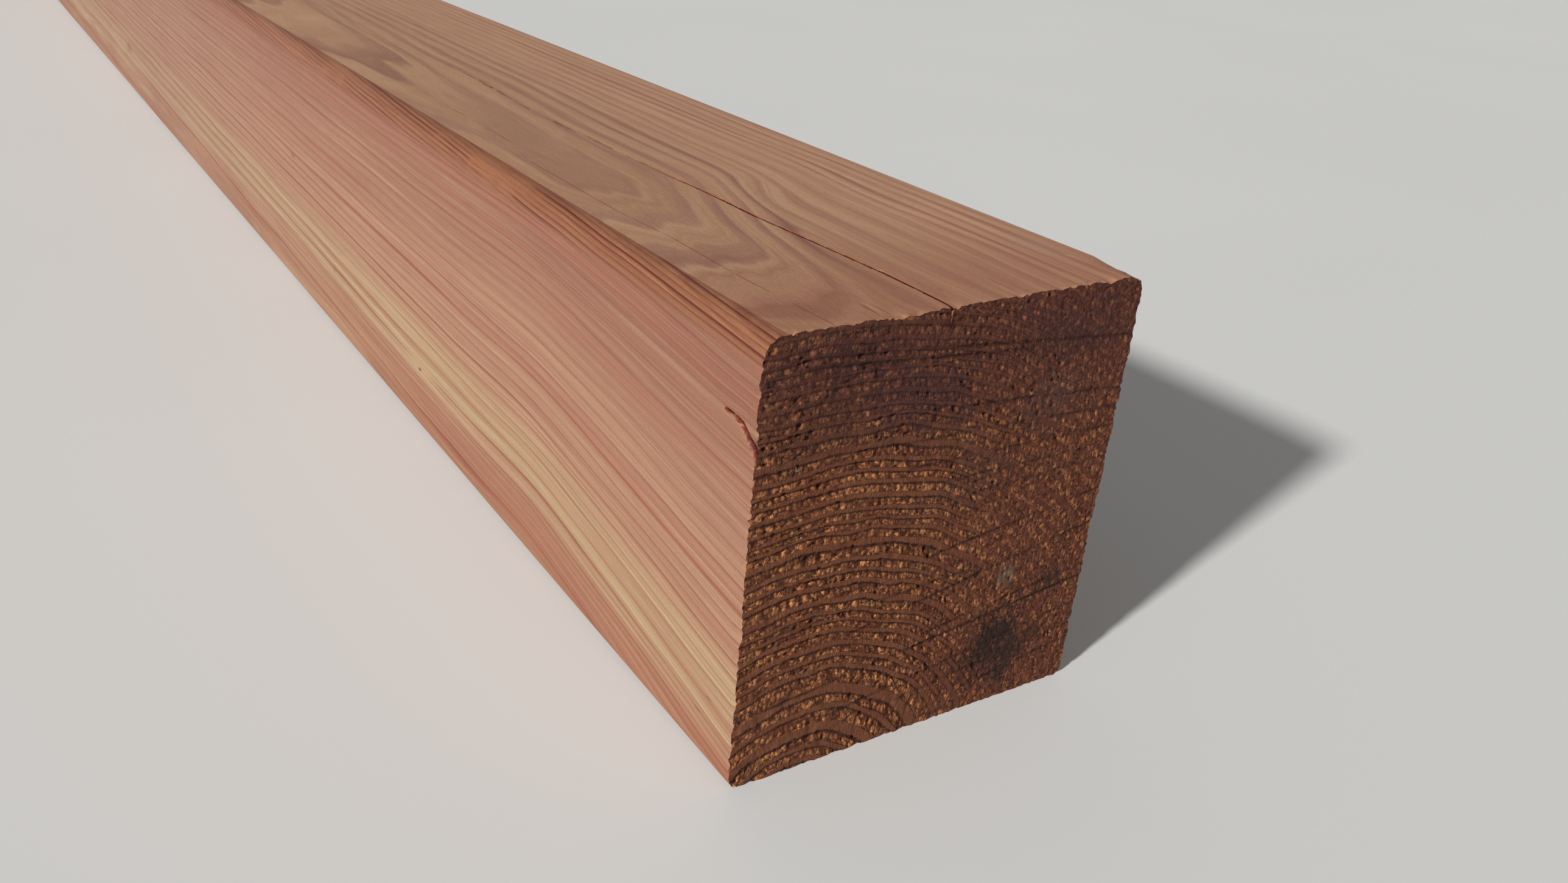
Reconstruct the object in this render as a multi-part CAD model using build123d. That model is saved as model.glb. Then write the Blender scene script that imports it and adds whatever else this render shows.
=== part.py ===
from build123d import *
import math
import os

# Squared softwood timber, one planed piece of stock lying flat on its bottom face.
# Millimetres. +X runs along the length to the rough near end, +Z is up, and the
# origin is at the bottom centre of the bounding box.

# Overall sizes, measured over the longest edge
TIMBER_LENGTH = 1800.0
TIMBER_WIDTH = 90.0
TIMBER_HEIGHT = 100.0

# Rounding of the four long edges, which wear and planing left unequal
TOP_LEFT_ARRIS = 4.5
TOP_RIGHT_ARRIS = 1.5
BOTTOM_RIGHT_ARRIS = 2.0
BOTTOM_LEFT_ARRIS = 3.0

# The near end was sawn by eye and its top edge overhangs. The far end is cut square.
NEAR_CUT_SLOPE = 3.4

# Drying check, a crack that opens along the grain of the top face.
# Distances run back from the near end, offsets run in from the left face.
CHECK_LENGTH = 290.0
CHECK_WIDTH = 0.6
CHECK_DEPTH = 9.0
CHECK_OFFSET_AT_END = 40.4
CHECK_OFFSET_AT_BOW = 35.0
CHECK_OFFSET_AT_TIP = 38.4
CHECK_BOW_PLACE = 0.64
CHECK_STATIONS = 9
CHECK_TIP_SHARE = 0.08
CHECK_MOUTH_SHARE = 0.45

# Chip torn from the left face by the saw, deepest where it meets the near end
CHIP_LENGTH = 14.4
CHIP_TOP = 88.0
CHIP_BOTTOM = 76.5
CHIP_DEPTH = 1.1
CHIP_TIP_HEIGHT = 82.3
CHIP_TIP_SIZE = 0.3

# Sliver split off the top right edge, which leaves a small step at its back
SLIVER_LENGTH = 13.0
SLIVER_WIDTH = 2.8
SLIVER_HEIGHT = 4.0
SLIVER_BACK_SIZE = 1.8

# Cutting solids run this far past the faces that they open
OVERCUT = 2.0


def timber_section():
    """The end outline in the YZ plane, with its four unequal arrises."""
    half_width = TIMBER_WIDTH / 2
    corners = [
        (-half_width, 0),
        (half_width, 0),
        (half_width, TIMBER_HEIGHT),
        (-half_width, TIMBER_HEIGHT),
    ]
    arrises = [BOTTOM_LEFT_ARRIS, BOTTOM_RIGHT_ARRIS, TOP_RIGHT_ARRIS, TOP_LEFT_ARRIS]
    outline = FilletPolyline(*corners, radius=arrises, close=True)
    return Plane.YZ.offset(-TIMBER_LENGTH / 2) * make_face(outline)


def near_cut_plane():
    """The plane of the out-of-square saw cut, through the overhanging top edge."""
    slope = math.radians(NEAR_CUT_SLOPE)
    normal = (math.cos(slope), 0, -math.sin(slope))
    top_edge = (TIMBER_LENGTH / 2, 0, TIMBER_HEIGHT)
    return Plane(origin=top_edge, z_dir=normal)


def section_at(place, points):
    """A face in the plane across the timber at one place along its length."""
    return Plane.YZ.offset(place) * make_face(Polyline(*points, close=True))


def check_offset(share):
    """How far the check lies from the left face, by its share of the check's length."""
    if share < CHECK_BOW_PLACE:
        start, end = CHECK_OFFSET_AT_END, CHECK_OFFSET_AT_BOW
        turn = share / CHECK_BOW_PLACE
    else:
        start, end = CHECK_OFFSET_AT_TIP, CHECK_OFFSET_AT_BOW
        turn = (1 - share) / (1 - CHECK_BOW_PLACE)
    return start + (end - start) * (1 - math.cos(math.pi * turn)) / 2


def check_opening(share):
    """How far the check is open, as a share of its widest: it closes at both ends."""
    swell = math.sin(math.pi * share) ** 0.7
    ends = CHECK_MOUTH_SHARE + (CHECK_TIP_SHARE - CHECK_MOUTH_SHARE) * share
    return ends + (1 - ends) * swell


def drying_check():
    """A wavy V-shaped crack in the top face, from the near end to a closed tip."""
    sections = []
    for step in range(CHECK_STATIONS + 1):
        share = step / CHECK_STATIONS
        place = TIMBER_LENGTH / 2 - CHECK_LENGTH * share
        middle = check_offset(share) - TIMBER_WIDTH / 2
        depth = CHECK_DEPTH * check_opening(share)
        half_mouth = CHECK_WIDTH * check_opening(share) / 2
        half_top = half_mouth * (depth + OVERCUT) / depth
        points = [
            (middle - half_top, TIMBER_HEIGHT + OVERCUT),
            (middle + half_top, TIMBER_HEIGHT + OVERCUT),
            (middle, TIMBER_HEIGHT - depth),
        ]
        sections.append(section_at(place, points))
    return loft(sections, ruled=True)


def torn_chip():
    """A shallow chip in the left face that widens and deepens towards the near end."""
    left_face = -TIMBER_WIDTH / 2
    tip = [
        (left_face - OVERCUT, CHIP_TIP_HEIGHT),
        (left_face, CHIP_TIP_HEIGHT + CHIP_TIP_SIZE),
        (left_face + CHIP_TIP_SIZE / 2, CHIP_TIP_HEIGHT),
    ]
    mouth = [
        (left_face - OVERCUT, CHIP_BOTTOM),
        (left_face, CHIP_TOP),
        (left_face + CHIP_DEPTH, CHIP_BOTTOM),
    ]
    near_end = TIMBER_LENGTH / 2
    sections = [section_at(near_end - CHIP_LENGTH, tip), section_at(near_end, mouth)]
    return loft(sections, ruled=True)


def sliver_section(place, width, height):
    """The corner that the sliver left open, cut straight from the top to the right face."""
    right_face = TIMBER_WIDTH / 2
    points = [
        (right_face - width, TIMBER_HEIGHT),
        (right_face, TIMBER_HEIGHT - height),
        (right_face + OVERCUT, TIMBER_HEIGHT + OVERCUT),
    ]
    return section_at(place, points)


def missing_sliver():
    """The wedge split off the top right edge, thickest at the near end."""
    near_end = TIMBER_LENGTH / 2
    back = sliver_section(near_end - SLIVER_LENGTH, SLIVER_BACK_SIZE, SLIVER_BACK_SIZE)
    mouth = sliver_section(near_end, SLIVER_WIDTH, SLIVER_HEIGHT)
    return loft([back, mouth], ruled=True)


def squared_timber():
    """The whole timber: planed stock, sawn ends, drying check, torn chip and split edge."""
    stock = extrude(timber_section(), amount=TIMBER_LENGTH)
    stock = split(stock, bisect_by=near_cut_plane(), keep=Keep.BOTTOM)
    return stock - drying_check() - torn_chip() - missing_sliver()


os.makedirs("parts", exist_ok=True)
export_step(squared_timber(), "parts/squared_timber.step")
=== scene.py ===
import itertools
import math

import bpy
import numpy as np
from mathutils import Matrix, Vector
from mathutils.geometry import delaunay_2d_cdt


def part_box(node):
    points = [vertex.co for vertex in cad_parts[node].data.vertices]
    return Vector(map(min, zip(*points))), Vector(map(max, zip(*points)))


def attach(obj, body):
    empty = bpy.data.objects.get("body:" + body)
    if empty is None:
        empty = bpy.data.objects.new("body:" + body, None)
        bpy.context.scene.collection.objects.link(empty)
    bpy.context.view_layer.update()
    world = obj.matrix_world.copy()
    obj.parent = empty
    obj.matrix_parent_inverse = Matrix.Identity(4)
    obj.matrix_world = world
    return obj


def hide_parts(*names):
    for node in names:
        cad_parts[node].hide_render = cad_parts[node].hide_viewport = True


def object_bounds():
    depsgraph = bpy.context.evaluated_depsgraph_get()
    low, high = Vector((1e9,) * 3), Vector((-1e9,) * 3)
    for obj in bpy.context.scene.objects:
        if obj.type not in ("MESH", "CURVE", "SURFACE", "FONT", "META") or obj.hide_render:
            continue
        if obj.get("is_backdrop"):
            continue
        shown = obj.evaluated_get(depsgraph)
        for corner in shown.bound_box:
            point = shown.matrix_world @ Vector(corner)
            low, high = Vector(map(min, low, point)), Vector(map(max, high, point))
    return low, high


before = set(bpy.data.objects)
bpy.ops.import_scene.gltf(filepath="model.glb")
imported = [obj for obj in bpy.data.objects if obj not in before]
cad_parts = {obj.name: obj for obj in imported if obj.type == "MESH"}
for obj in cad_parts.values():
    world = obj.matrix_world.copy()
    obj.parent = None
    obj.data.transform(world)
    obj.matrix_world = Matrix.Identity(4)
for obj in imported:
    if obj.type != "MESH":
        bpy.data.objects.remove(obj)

cad_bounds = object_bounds()

# Lengths are in millimetres until the mesh is made.
# x runs along the timber to the rough near end, y runs from its left to its right, and z is up.
MM = 0.001
low_corner, high_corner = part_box("squared_timber")
FAR_X, LEFT_Y, BOTTOM_Z = (value / MM for value in low_corner)
NEAR_X, RIGHT_Y, TOP_Z = (value / MM for value in high_corner)
WIDTH = RIGHT_Y - LEFT_Y
HEIGHT = TOP_Z - BOTTOM_Z
MIDDLE_X = (FAR_X + NEAR_X) / 2

# Rounding of the long edges, and how far each near-end point lies back for each millimetre down
TOP_LEFT_ARRIS = 4.5
TOP_RIGHT_ARRIS = 1.5
BOTTOM_RIGHT_ARRIS = 2.0
BOTTOM_LEFT_ARRIS = 3.0
ARRIS_STEPS = 8
NEAR_CUT_SLOPE = math.tan(math.radians(3.4))

# Growth rings: the pith lies below the bottom face, and the rings narrow outwards
PITH_Y = LEFT_Y + 16
PITH_Z = BOTTOM_Z - 17
RINGS_PER_MM = 0.183
RINGS_NARROWING = 0.00115
RING_SWAYS = ((1.7, 0.16, 1.0), (0.63, 0.22, 2.1), (0.29, 0.3, 0.4))
RING_SWAY_LENGTH = 3

# The grain rises along the timber: steeply behind the near end and gently further back.
# It rises less, and further back, towards the right face, and less towards the top.
DRIFT_RATE = 0.022
DRIFT_STEP = 9.7
DRIFT_STEP_START = -30
DRIFT_STEP_STOP = 105
DRIFT_SWELL = 1.0
DRIFT_SWELL_PLACE = 110
DRIFT_SWELL_LENGTH = 25
DRIFT_DELAY_WIDTH = 35
DRIFT_START_DELAY = 100
DRIFT_STOP_DELAY = 3
DRIFT_FULL_WIDTH = 15
DRIFT_FADE_WIDTH = 85
DRIFT_FADE = 0.9
DRIFT_AT_BOTTOM = 1.25
DRIFT_AT_TOP = 0.6

# The drying check in the top face, as distances from the near end and offsets from the left face
CHECK_ROUTE = (
    (0, 40.3), (10, 40.6), (24, 40.3), (42, 39.3), (68, 37.8), (92, 37.6), (106, 36.7),
    (124, 36.4), (151, 35.7), (184, 34.9), (240, 37.1), (287, 38.4),
)
CHECK_OPEN_LENGTH = 107
CHECK_LENGTH = 285
CHECK_CLOSING = 25
CHECK_TIP = 40
CHECK_HALF_WIDTH = 0.3
CLOSED_HALF_WIDTH = 0.16
CHECK_DEPTH = 4.0
CHECK_RIDGE_DEPTH = 0.15
CHECK_SNAP = 0.17

# The hairline check beside it, which is broken and hardly open
HAIRLINE_ROUTE = (
    (5, 14.5), (30, 13.1), (60, 13.0), (82, 11.3), (97, 11.2), (120, 11.0), (134, 11.0),
    (149, 14.3), (176, 14.6), (208, 14.0),
)

# The chip torn from the left face: its crack, as distances from the near end and heights
CHIP_CRACK = ((11.4, 82.3), (8.5, 82.1), (5.6, 81.6), (3.3, 79.7), (0.6, 78.0), (-1.0, 74.1))
CHIP_MIDDLE = 81.5
CHIP_HALF_HEIGHT = 8
CHIP_LENGTH = 11.4
CHIP_REACH = 13
CHIP_FADE = 7
CHIP_DEPTH = 0.9
CREVICE_DEPTH = 1.1
CREVICE_WIDTH = 0.28
CREVICE_FULL = 10.5
TORN_WIDTH = 0.4

# The sliver missing from the top right edge: its depth at its back and at the near end
SLIVER_LENGTH = 13.0
SLIVER_BACK_DEPTH = 0.5
SLIVER_END_DEPTH = 1.5
SLIVER_REACH = 4.0

# Straight marks of the saw on the near end: two points each, as offsets from the left and heights,
# and a strength. They are cut in as shallow grooves, and painted dark as the shade inside them.
SAW_MARKS = (
    ((0, 17.0), (90, 27.7), 1.0),
    ((0, 5.0), (90, 14.5), 0.5),
    ((22, 11.0), (90, 20.5), 0.65),
    ((25, 30.6), (90, 42.0), 0.85),
    ((0, 35.5), (60, 38.5), 0.6),
    ((0, 62.6), (90, 61.5), 0.6),
    ((28, 57.0), (90, 58.5), 0.5),
    ((0, 95.5), (90, 87.0), 0.75),
    ((10, 92.5), (62, 88.0), 0.8),
    ((5, 98.5), (90, 95.5), 0.5),
    ((44, 44.5), (90, 50.5), 0.8),
    ((36, 66.8), (90, 66.0), 0.7),
    ((30, 73.0), (90, 70.6), 0.75),
    ((46, 24.8), (90, 31.0), 0.75),
    ((52, 5.2), (90, 10.8), 0.65),
    ((40, 79.0), (90, 75.0), 0.75),
)
SAW_MARK_HALF_WIDTH = 0.36
SAW_MARK_DEPTH = 0.36
END_WANDER = 0.8
END_RELIEF_REACH = 6

# One growth ring shows as the strongest line on the left face, and fainter lines lie between rings
DARK_YEAR = 11
FAINT_LINES = 2.7

# Colours of the side faces from the bottom up, by share of the height
SIDE_TINTS = (
    (0.0, (150, 106, 81)),
    (0.06, (154, 112, 86)),
    (0.11, (163, 131, 102)),
    (0.16, (170, 146, 112)),
    (0.25, (169, 143, 110)),
    (0.34, (162, 125, 99)),
    (0.5, (160, 120, 96)),
    (0.68, (152, 112, 90)),
    (0.88, (140, 98, 79)),
)

# Other colours of the planed faces. Where there are two, the wood varies between them.
PINK_WOOD = (152, 103, 82)
PALE_WOOD = (170, 136, 106)
FAR_WOOD = (147, 118, 98)
RING_LINE = (128, 58, 40)
TOP_LIGHT = ((178, 137, 106), (190, 147, 117))
TOP_DARK = ((144, 100, 86), (158, 106, 84))
TOP_PINK = (170, 120, 98)
TOP_BROWN = (152, 98, 74)
EDGE_WOOD = ((120, 72, 50), (158, 106, 74))
EDGE_LINE = (84, 36, 24)
EDGE_SEAM = (112, 54, 36)
# Painted highlight beside the check, for its lit right wall
CHECK_WALL_HIGHLIGHT = (172, 92, 56)
HAIRLINE = (124, 56, 40)
CHIP_RED = (122, 48, 30)
# Painted shadow in the cores of the check and of the chip's crack
CRACK_SHADOW = (62, 22, 15)
# Painted shade inside the check and the chip's recess
HOLLOW_SHADE = (54, 20, 14)

# Colours of the near end, from its torn flakes to its saw marks, and of the cut far end. The near end's
# gaps, pits, saw grooves and the lines under its latewood strips get painted shade.
FLAKES = ((118, 68, 43), (226, 152, 96))
FLAKE_SHADE = (84, 44, 30)
# Painted shade between the flakes and in the deepest pits
FLAKE_GAP_SHADE = (54, 26, 18)
PIT_SHADE = (42, 22, 16)
LATEWOOD = ((92, 53, 36), (140, 88, 59))
CALM_GRAINS = ((52, 25, 19), (134, 76, 54))
# Painted shadow that the raised latewood strips cast on the row under them
STRIP_SHADOW = (44, 22, 16)
END_RED = (104, 52, 36)
END_RIDGE = (72, 34, 26)
END_HIGH = (80, 44, 40)
# Painted shade in the saw grooves
SAW_GROOVE_SHADE = (38, 22, 18)
CUT_WOOD = ((158, 110, 76), (194, 146, 106))
CUT_LATE = (116, 68, 48)

# Reddish lines on the worn top left edge: how fast they cross it, and their spacing
EDGE_LINE_SLOPE = 0.06
EDGE_LINE_GAP = 1.7

# Size of the wood's fibres, and the share of a spot or line that lies inside its fading edge
FIBRE_LENGTH = 12
FIBRE_WIDTH = 0.32
SPOT_CORE = 0.2

# Marks on the left face, then the top: centre, half size, slope, strength and colour.
# The centre's first number is its distance from END_X along x, and its second is the height or
# the distance in from the left face.
END_X = NEAR_X - 3
LEFT_SPOTS = (
    ((-195, 22.6), (22, 2.6), 1, 0.5, (178, 152, 112)),
    ((-195.5, 21.8), (1.9, 0.75), 6, 0.95, (96, 46, 30)),
    ((-12, 17.2), (1.8, 0.3), -8, 0.8, (112, 70, 50)),
    ((-16.5, 11.6), (2.2, 0.3), -6, 0.8, (116, 72, 52)),
    ((-340, 56), (4.5, 1.6), 0, 0.6, (128, 84, 62)),
    ((-292, 25), (2.5, 1.2), 0, 0.5, (134, 92, 68)),
    ((-778, 29.5), (16, 5), 3, 0.55, (128, 88, 66)),
)
TOP_SPOTS = (
    ((-22, 82), (15, 3.4), 2, 0.35, (168, 138, 122)),
    ((-13, 84), (3.2, 0.25), 12, 0.6, (206, 180, 160)),
    ((-2, 25.2), (6.0, 0.22), -2, 0.85, (104, 50, 34)),
    ((-1, 27.2), (5.0, 0.24), 3, 0.8, (112, 58, 40)),
    ((-3, 26.2), (4.5, 0.3), 0, 0.6, (206, 158, 116)),
    ((-11.5, 22), (6.0, 0.2), 0, 0.5, (134, 78, 56)),
    ((-6, 44.3), (1.6, 0.22), 0, 0.7, (124, 70, 50)),
    ((-5, 57.5), (8.0, 0.24), 1, 0.6, (132, 78, 58)),
    ((-21, 40.6), (1.6, 0.5), 30, 0.8, (214, 150, 98)),
)

# Stains and then cracks on the near end, with centres as offsets from the left and heights. The cracks
# are painted near-black as the shade inside them, and the last mark is a pale one.
END_STAINS = (
    ((64, 12), (24, 14), 0, 0.4, (70, 34, 28)),
    ((68, 15), (11, 15), 10, 0.8, (40, 30, 27)),
    ((80, 30), (7, 5), 0, 0.65, (44, 35, 33)),
    ((67, 34), (3, 4), 0, 0.5, (112, 104, 90)),
    ((38, 82), (20, 11), -8, 0.55, (60, 37, 41)),
    ((14, 80), (16, 10), 0, 0.35, (62, 34, 30)),
    ((70, 75), (12, 10), 0, 0.4, (84, 64, 60)),
    ((54, 62), (14, 10), 0, 0.35, (72, 46, 44)),
    ((20, 93), (26, 7), 0, 0.5, (58, 34, 34)),
    ((72, 90), (24, 10), -6, 0.45, (66, 41, 40)),
)
END_CRACK_SHADOWS = (
    ((13, 83.5), (1.9, 0.3), 92, 0.9, (24, 14, 13)),
    ((8.7, 72), (1.6, 0.28), 84, 0.9, (24, 14, 13)),
    ((9, 58.5), (0.9, 0.25), 88, 0.8, (28, 17, 15)),
    ((14.8, 2), (1.6, 0.28), 95, 0.9, (24, 14, 13)),
    ((9.3, 72.7), (0.45, 0.75), 0, 0.9, (214, 204, 192)),
)

# Sizes of the mesh: rings of the coarse sides, then the longest edges or spacing by region
NEAR_RINGS = 22
FAR_RINGS = 20
RING_CROWDING = 400
NEAR_END_SPACING = 0.45
FAR_END_SPACING = 3.0
SIDE_EDGE = 60.0
RIM_EDGE = 0.95
RIM_GROWTH = 0.35
CHECK_EDGE = 0.36
CHECK_COARSENING = (CHECK_OPEN_LENGTH - 20, CHECK_OPEN_LENGTH + 60)
CHIP_EDGE = 0.45
FAR_HALF, NEAR_HALF, FAR_END, NEAR_END = range(4)

# A point this near to a face or to an edge lies on it, and the broken rim is this wide
ON_FACE = 0.01
EDGE_NEARNESS = 1e-6
RIM_WIDTH = 3

# Numbers that scramble whole numbers, for noise that is the same in each run
HASH_PRIMES = (374761393, 668265263, 1274126177)
HASH_FACTOR, HASH_STEP = 1103515245, 12345
HASH_MASK = 0xFFFFFFFF


def smooth(low, high, value):
    """An S-shaped rise from 0 at low to 1 at high."""
    share = np.clip((value - low) / (high - low), 0, 1)
    return share * share * (3 - 2 * share)


def falling(value, reach):
    """1 at 0, falling evenly to 0 at a reach."""
    return np.clip(1 - value / reach, 0, 1)


def bell(value, width):
    """1 at 0, fading out softly to both sides."""
    return np.exp(-((value / width) ** 2))


def lattice_value(places, seed):
    """A repeatable number from 0 to 1 for each pair of whole numbers."""
    mixed = (places * HASH_PRIMES[:2]).sum(axis=1) + seed * HASH_PRIMES[2]
    mixed = (mixed ^ (mixed >> 13)) & HASH_MASK
    mixed = (mixed * HASH_FACTOR + HASH_STEP) & HASH_MASK
    mixed = (mixed ^ (mixed >> 15)) * HASH_PRIMES[1] & HASH_MASK
    return ((mixed ^ (mixed >> 13)) & 0xFFFF) / 0xFFFF


def smooth_noise(seed, first, second):
    """Smooth noise from -1 to 1 over two rows of numbers, one unit to a feature."""
    points = np.column_stack([first, second])
    cell = np.floor(points).astype(np.int64)
    part = points - cell
    part = part * part * (3 - 2 * part)
    total = 0
    for corner in itertools.product((0, 1), repeat=2):
        weight = np.where(corner, part, 1 - part).prod(axis=1)
        total = total + weight * lattice_value(cell + corner, seed)
    return 2 * total - 1


def rough_noise(seed, octaves, first, second):
    """Noise with finer and weaker layers added."""
    total = 0
    for layer in range(octaves):
        finer = 2**layer
        total = total + smooth_noise(seed + layer, first * finer, second * finer) / finer
    return total


def lumps(seed, first, second):
    """Scattered cells, one to a unit square: distance to the nearest two, and its own number."""
    points = np.column_stack([first, second])
    cell = np.floor(points).astype(np.int64)
    nearest = np.full(len(points), 9.0)
    further = nearest.copy()
    number = np.zeros(len(points))
    for step in itertools.product((-1, 0, 1), repeat=2):
        home = cell + step
        centre = home + 0.5 + 0.7 * (
            np.stack([lattice_value(home, seed), lattice_value(home, seed + 1)], axis=1) - 0.5
        )
        distance = np.hypot(*(points - centre).T)
        closer = distance < nearest
        further = np.where(closer, nearest, np.minimum(further, distance))
        number = np.where(closer, lattice_value(home, seed + 2), number)
        nearest = np.where(closer, distance, nearest)
    return nearest, further, number


def line_distance(across, along, line):
    """Distance from points to a line through two or more corner points."""
    best = np.full(len(across), 1e9)
    for (a_across, a_along), (b_across, b_along) in zip(line, line[1:]):
        span_across = b_across - a_across
        span_along = b_along - a_along
        length = span_across**2 + span_along**2
        share = ((across - a_across) * span_across + (along - a_along) * span_along) / length
        share = np.clip(share, 0, 1)
        gap = np.hypot(across - a_across - share * span_across, along - a_along - share * span_along)
        best = np.minimum(best, gap)
    return best


def near_end_x(z):
    """Where the out-of-square near cut lies at a height."""
    return NEAR_X - (TOP_Z - z) * NEAR_CUT_SLOPE


def ring_number(radius, sine=np.sin):
    """The count of rings out to a radius, with good and bad years. It also works in a shader."""
    count = radius * (radius * RINGS_NARROWING + RINGS_PER_MM)
    for rate, size, start in RING_SWAYS:
        count = sine(radius * (rate / RING_SWAY_LENGTH) + start) * size + count
    return count


def section_outline():
    """Corner points round the section, anticlockwise seen from the near end."""
    corners = (
        (LEFT_Y, BOTTOM_Z, BOTTOM_LEFT_ARRIS, 180),
        (RIGHT_Y, BOTTOM_Z, BOTTOM_RIGHT_ARRIS, 270),
        (RIGHT_Y, TOP_Z, TOP_RIGHT_ARRIS, 0),
        (LEFT_Y, TOP_Z, TOP_LEFT_ARRIS, 90),
    )
    outline = []
    for y, z, arris, start in corners:
        centre_y = y + math.copysign(arris, -y)
        centre_z = z + math.copysign(arris, HEIGHT / 2 - z)
        for step in range(ARRIS_STEPS + 1):
            turn = math.radians(start + 90 * step / ARRIS_STEPS)
            outline.append((centre_y + arris * math.cos(turn), centre_z + arris * math.sin(turn)))
    return outline


def coarse_sides():
    """The four long faces as large triangles, in rings that crowd together behind the near end."""
    outline = np.array(section_outline())
    count = len(outline)
    near_shares = (np.geomspace(1, RING_CROWDING, NEAR_RINGS) - 1) / (RING_CROWDING - 1)
    far_shares = np.linspace(0, 1, FAR_RINGS)[1:]
    rings = []
    for share in near_shares:
        rings.append(near_end_x(outline[:, 1]) * (1 - share) + MIDDLE_X * share)
    for share in far_shares:
        rings.append(np.full(count, MIDDLE_X * (1 - share) + FAR_X * share))
    points = np.concatenate([np.column_stack([x, outline]) for x in rings])
    triangles = []
    regions = []
    for ring in range(len(rings) - 1):
        half = NEAR_HALF if ring < NEAR_RINGS - 1 else FAR_HALF
        for index in range(count):
            after = (index + 1) % count
            near = ring * count
            far = near + count
            triangles.append((far + index, far + after, near + after))
            triangles.append((far + index, near + after, near + index))
            regions += [half, half]
    return points, np.array(triangles), np.array(regions)


def inset(y, z):
    """Distance in from the section's outline."""
    outline = np.array(section_outline())
    gap = np.full(np.shape(y), np.inf)
    for start, end in zip(outline, np.roll(outline, -1, axis=0)):
        run = (end - start) / np.linalg.norm(end - start)
        gap = np.minimum(gap, run[0] * (z - start[1]) - run[1] * (y - start[0]))
    return gap


def cap(points, rim, spacing, seed):
    """Triangles of even size that close one end, with the points that they add."""
    row_step = spacing * math.sqrt(3) / 2
    rows = np.arange(BOTTOM_Z + row_step / 2, TOP_Z, row_step)
    columns = np.arange(LEFT_Y, RIGHT_Y, spacing)
    z, y = (grid.ravel() for grid in np.meshgrid(rows, columns, indexing="ij"))
    odd = (np.round((z - BOTTOM_Z) / row_step - 0.5) % 2).astype(bool)
    y = y + np.where(odd, spacing / 2, 0)
    places = np.column_stack([np.round(y / spacing * 2), np.round(z / row_step)]).astype(np.int64)
    y = y + 0.3 * spacing * (lattice_value(places, seed) - 0.5)
    z = z + 0.3 * spacing * (lattice_value(places, seed + 1) - 0.5)
    keep = inset(y, z) > 0.6 * spacing
    inner = np.column_stack([y[keep], z[keep]])
    flat = np.concatenate([points[rim][:, 1:], inner])
    count = len(rim)
    border = [(index, (index + 1) % count) for index in range(count)]
    corners = [Vector(place) for place in flat]
    _, _, faces, sources, _, _ = delaunay_2d_cdt(corners, border, [], 1, 1e-6)
    own = np.array([source[0] for source in sources])
    lookup = np.concatenate([rim, len(points) + np.arange(len(inner))])
    return inner, lookup[own[np.array(faces)]]


def close_end(points, triangles, regions, region):
    """Adds the cap of the near or far end to the sides."""
    if region == NEAR_END:
        on_rim = np.abs(near_end_x(points[:, 2]) - points[:, 0]) < EDGE_NEARNESS
        spacing = NEAR_END_SPACING
    else:
        on_rim = points[:, 0] < FAR_X + EDGE_NEARNESS
        spacing = FAR_END_SPACING
    rim = np.flatnonzero(on_rim)
    rim = rim[np.argsort(np.arctan2(points[rim, 2] - HEIGHT / 2, points[rim, 1]))]
    inner, faces = cap(points, rim, spacing, 101)
    if region == NEAR_END:
        x = near_end_x(inner[:, 1])
    else:
        x = np.full(len(inner), FAR_X)
        faces = faces[:, ::-1]
    points = np.concatenate([points, np.column_stack([x, inner])])
    triangles = np.concatenate([triangles, faces])
    return points, triangles, np.concatenate([regions, np.full(len(faces), region)])


def check_offset(behind):
    """The check's y at a distance behind the near end."""
    places, offsets = zip(*CHECK_ROUTE)
    return LEFT_Y + np.interp(behind, places, offsets)


def longest_edge(middles):
    """How long an edge of the sides may be where its middle lies."""
    x, y, z = middles.T
    behind = near_end_x(z) - x
    limit = np.minimum(RIM_EDGE + RIM_GROWTH * behind, SIDE_EDGE)
    limit = np.minimum(limit, FAR_END_SPACING * 1.4 + 0.6 * (x - FAR_X))
    on_top = (z > TOP_Z - ON_FACE) & (behind < CHECK_LENGTH)
    beside = np.abs(y - check_offset(behind))
    coarser = CHECK_EDGE * (1 + 1.5 * smooth(*CHECK_COARSENING, behind))
    check_limit = coarser + 0.8 * np.maximum(beside - 0.5, 0)
    limit = np.where(on_top, np.minimum(limit, check_limit), limit)
    by_chip = (np.abs(z - CHIP_MIDDLE) < CHIP_HALF_HEIGHT) & (behind < CHIP_REACH)
    on_chip = by_chip & (y < LEFT_Y + ON_FACE)
    return np.where(on_chip, np.minimum(limit, CHIP_EDGE), limit)


def edges(points, triangles):
    """The two ends of each edge, and the edges of each triangle."""
    pairs = np.sort(triangles[:, [0, 1, 1, 2, 2, 0]].reshape(-1, 2), axis=1)
    codes = pairs[:, 0].astype(np.int64) * len(points) + pairs[:, 1]
    unique, edge_of = np.unique(codes, return_inverse=True)
    return points[unique // len(points)], points[unique % len(points)], edge_of.reshape(-1, 3)


def longest_first(triangles, edge_of, lengths):
    """Turns each triangle so that its longest edge comes first."""
    order = lengths[edge_of] + edge_of * 1e-9
    spin = (order.argmax(axis=1)[:, None] + np.arange(3)) % 3
    return np.take_along_axis(triangles, spin, axis=1), np.take_along_axis(edge_of, spin, axis=1)


def cut_triangles(triangles, regions, split, middle):
    """The triangles cut at their split edges, the first of which is always split before others."""
    a, b, c = triangles.T
    m, n, k = middle.T
    first, second, third = split.T
    cases = (
        (~first, (a, b, c)),
        (first & ~third, (a, m, c)),
        (first & third, (a, m, k)),
        (first & third, (m, c, k)),
        (first & ~second, (m, b, c)),
        (first & second, (m, b, n)),
        (first & second, (m, n, c)),
    )
    triangles = np.concatenate([np.stack(corners, axis=1)[mask] for mask, corners in cases])
    return triangles, np.concatenate([regions[mask] for mask, _ in cases])


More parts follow.
